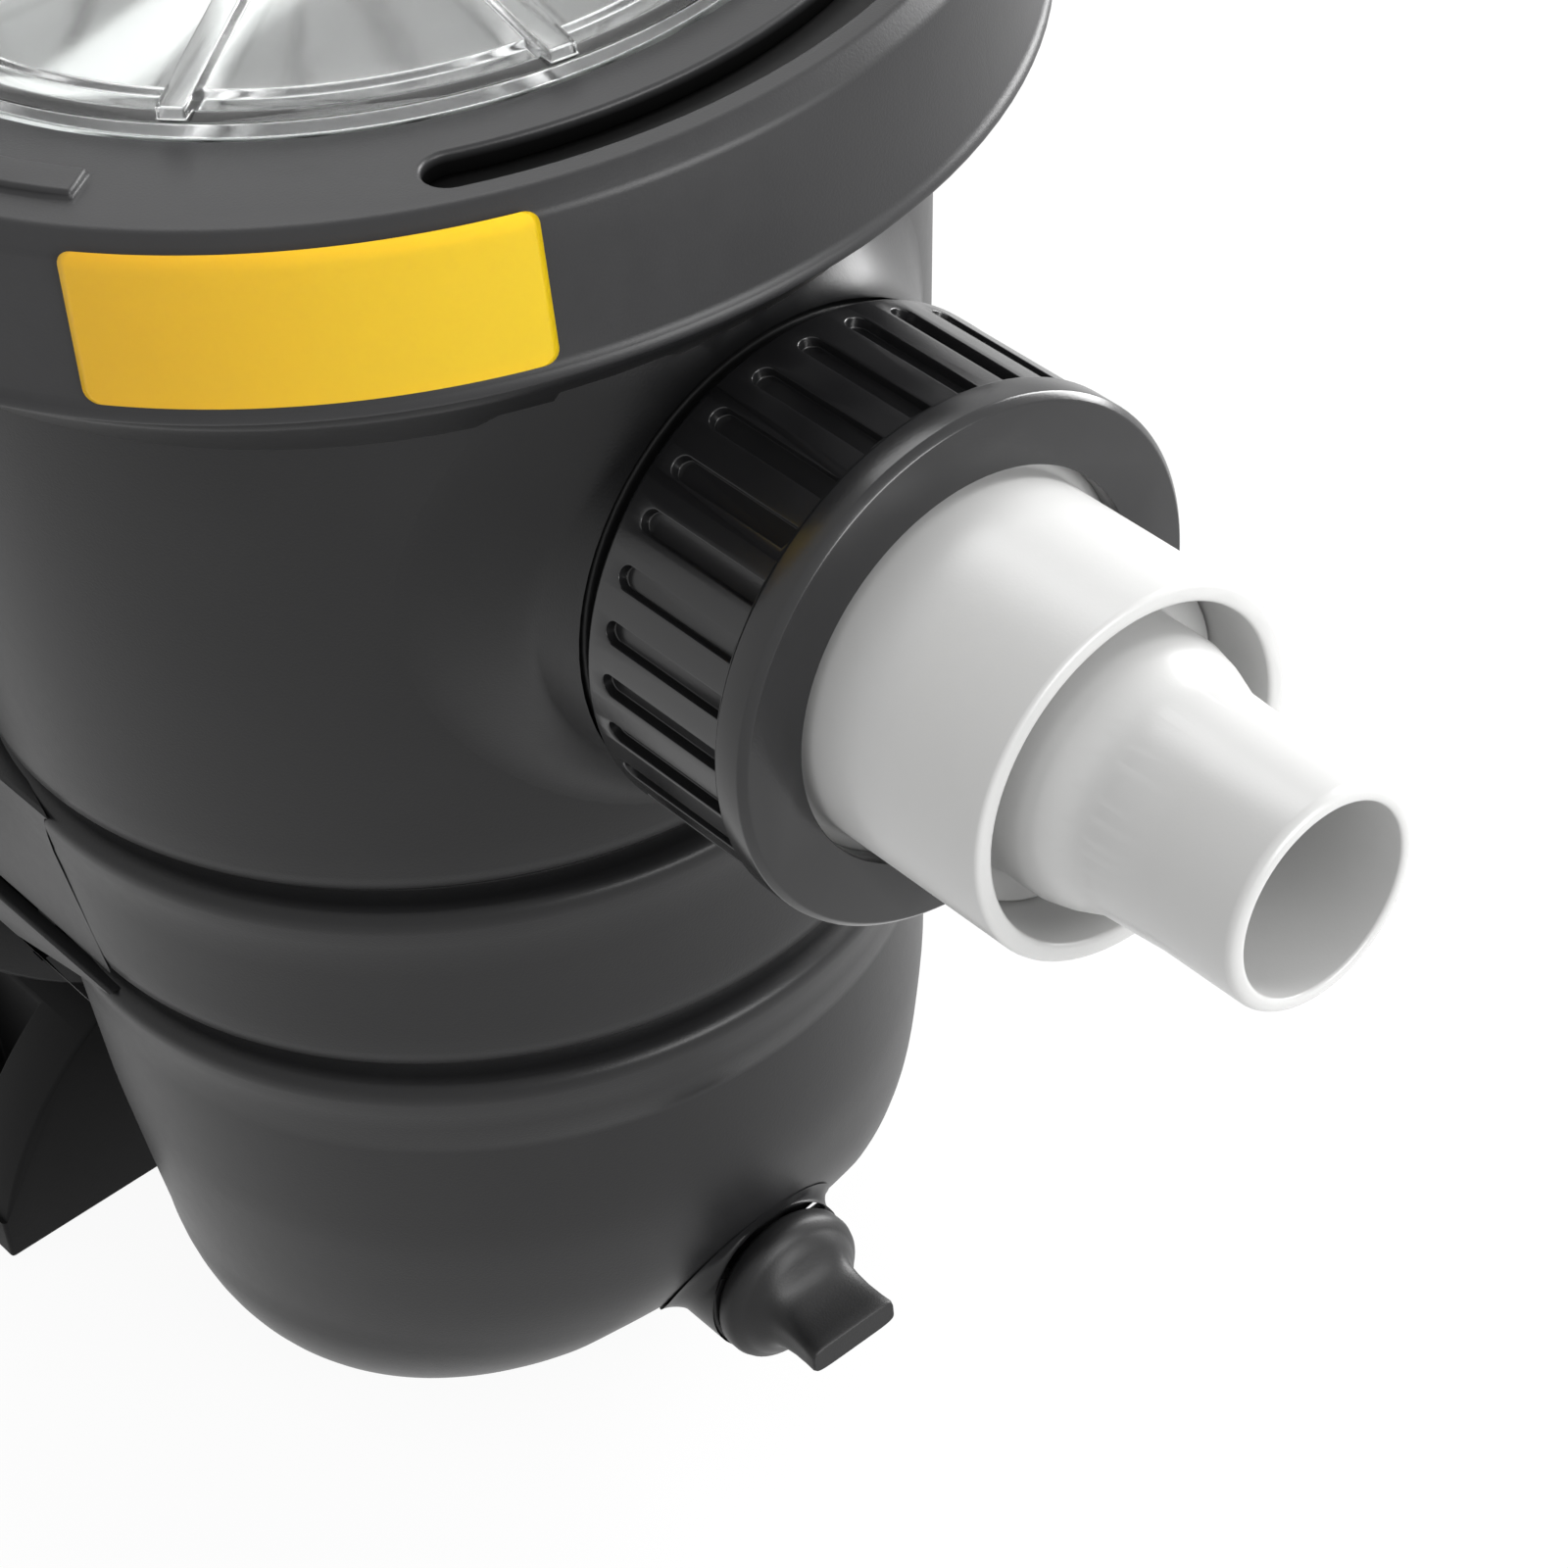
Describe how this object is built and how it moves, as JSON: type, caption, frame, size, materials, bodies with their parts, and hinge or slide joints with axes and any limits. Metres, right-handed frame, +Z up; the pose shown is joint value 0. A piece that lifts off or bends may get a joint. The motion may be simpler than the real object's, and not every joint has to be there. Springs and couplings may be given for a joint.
{
  "type": "pool pump",
  "caption": "Self-priming pool pump with a clear-lidded strainer pot, screwed unions with hose tails, a foot and a finned motor.",
  "frame": {"origin": "on the floor at the centre of the foot's four bolt slots", "axes": "+X across the pump to the side of the chamber's drain plug, +Y from the suction port along the shaft to the motor, +Z up along the pot and the discharge port"},
  "size_m": [0.202, 0.6269, 0.3183],
  "materials": {
    "charcoal_plastic": "satin glass-filled moulding",
    "black_plastic": "satin moulding",
    "ring_plastic": "satin moulding",
    "nut_plastic": "glossy moulding",
    "white_pvc": "smooth white pipe plastic",
    "clear_plastic": "clear polished moulding",
    "basket_plastic": "pale perforated moulding",
    "yellow_film": "printed film, left bare",
    "black_rubber": "plain rubber",
    "plain_steel": "plain bright steel",
    "ceramic": "lapped ceramic",
    "motor_metal": "black coated aluminium",
    "core_iron": "bare laminations",
    "copper": "varnished winding wire",
    "capacitor_case": "smooth moulded case",
    "terminal_plastic": "plain moulding"
  },
  "bodies": {
    "casing": {"pump_casing": "charcoal_plastic", "pump_foot": "black_plastic", "foot_screws": "plain_steel", "lid_oring": "black_rubber", "suction_oring": "black_rubber", "discharge_oring": "black_rubber", "diffuser": "black_plastic", "wear_ring": "white_pvc", "seal_seat": "ceramic", "seal_cup": "black_rubber", "seal_plate": "charcoal_plastic", "seal_plate_oring": "black_rubber", "chamber_bolts": "plain_steel", "motor_flange": "motor_metal", "motor_bolts": "plain_steel", "front_bearing": "plain_steel", "rear_bearing": "plain_steel", "preload_washer": "plain_steel", "stator_core": "core_iron", "stator_windings": "copper", "motor_housing": "motor_metal", "rear_end_bell": "motor_metal", "tie_rods": "plain_steel", "fan_cover": "black_plastic", "fan_cover_screws": "plain_steel", "terminal_box": "black_plastic", "terminal_box_gasket": "black_rubber", "terminal_box_lid": "black_plastic", "terminal_box_screws": "plain_steel", "run_capacitor": "capacitor_case", "terminal_block": "terminal_plastic", "cable_gland": "black_plastic", "motor_foot": "black_plastic", "motor_foot_pads": "black_rubber"},
    "lid": {"clear_lid": "clear_plastic"},
    "ring": {"lock_ring": "ring_plastic", "ring_sticker": "yellow_film"},
    "basket": {"strainer_basket": "basket_plastic"},
    "suction_union": {"suction_tail": "white_pvc", "suction_hose_adapter": "white_pvc"},
    "suction_union_nut": {"suction_nut": "nut_plastic"},
    "discharge_union": {"discharge_tail": "white_pvc", "discharge_hose_adapter": "white_pvc"},
    "discharge_union_nut": {"discharge_nut": "nut_plastic"},
    "pot_drain_seal": {"pot_drain_oring": "black_rubber"},
    "pot_drain": {"pot_drain_plug": "black_plastic"},
    "chamber_drain_seal": {"chamber_drain_oring": "black_rubber"},
    "chamber_drain": {"chamber_drain_plug": "black_plastic"},
    "rotor": {"impeller": "black_plastic", "impeller_screw": "plain_steel", "seal_head": "plain_steel", "seal_spring": "plain_steel", "water_slinger": "black_rubber", "motor_shaft": "plain_steel", "rotor_core": "core_iron", "cooling_fan": "black_plastic"}
  },
  "joints": [
    {"name": "lid_lift", "type": "slide", "parent": "casing", "child": "lid", "axis": [0, 0, 1], "range_m": [0, 0.25]},
    {"name": "ring_turn", "type": "hinge", "parent": "lid", "child": "ring", "pos_m": [0, -0.138, 0.28], "axis": [0, 0, 1], "range_deg": [0, 60]},
    {"name": "basket_lift", "type": "slide", "parent": "casing", "child": "basket", "axis": [0, 0, 1], "range_m": [0, 0.215]},
    {"name": "suction_union_pull", "type": "slide", "parent": "casing", "child": "suction_union", "axis": [0, -1, 0], "range_m": [0, 0.03]},
    {"name": "suction_nut_turn", "type": "hinge", "parent": "suction_union", "child": "suction_union_nut", "pos_m": [0, -0.2495, 0.205], "axis": [0, -1, 0], "range_deg": [0, 1800]},
    {"name": "discharge_union_pull", "type": "slide", "parent": "casing", "child": "discharge_union", "axis": [0, 0, 1], "range_m": [0, 0.03]},
    {"name": "discharge_nut_turn", "type": "hinge", "parent": "discharge_union", "child": "discharge_union_nut", "pos_m": [0, 0.014, 0.236], "axis": [0, 0, 1], "range_deg": [0, 1800]},
    {"name": "pot_drain_pull", "type": "slide", "parent": "casing", "child": "pot_drain_seal", "axis": [0, -1, 0], "range_m": [0, 0.021]},
    {"name": "pot_drain_turn", "type": "hinge", "parent": "pot_drain_seal", "child": "pot_drain", "pos_m": [0, -0.2045, 0.0362], "axis": [0, -1, 0], "range_deg": [0, 2520]},
    {"name": "chamber_drain_pull", "type": "slide", "parent": "casing", "child": "chamber_drain_seal", "axis": [1, 0, 0], "range_m": [0, 0.021]},
    {"name": "chamber_drain_turn", "type": "hinge", "parent": "chamber_drain_seal", "child": "chamber_drain", "pos_m": [0.08, -0.01, 0.066], "axis": [1, 0, 0], "range_deg": [0, 2520]},
    {"name": "rotor_spin", "type": "hinge", "parent": "casing", "child": "rotor", "pos_m": [0, 0.1, 0.118], "axis": [0, 1, 0], "continuous": true}
  ],
  "couplings": [
    {"joint": "basket_lift", "follows": "lid_lift", "ratio": 0.86},
    {"joint": "suction_union_pull", "follows": "suction_nut_turn", "m_per_rad": 0.00095493},
    {"joint": "discharge_union_pull", "follows": "discharge_nut_turn", "m_per_rad": 0.00095493},
    {"joint": "pot_drain_pull", "follows": "pot_drain_turn", "m_per_rad": 0.00047746},
    {"joint": "chamber_drain_pull", "follows": "chamber_drain_turn", "m_per_rad": 0.00047746}
  ]
}
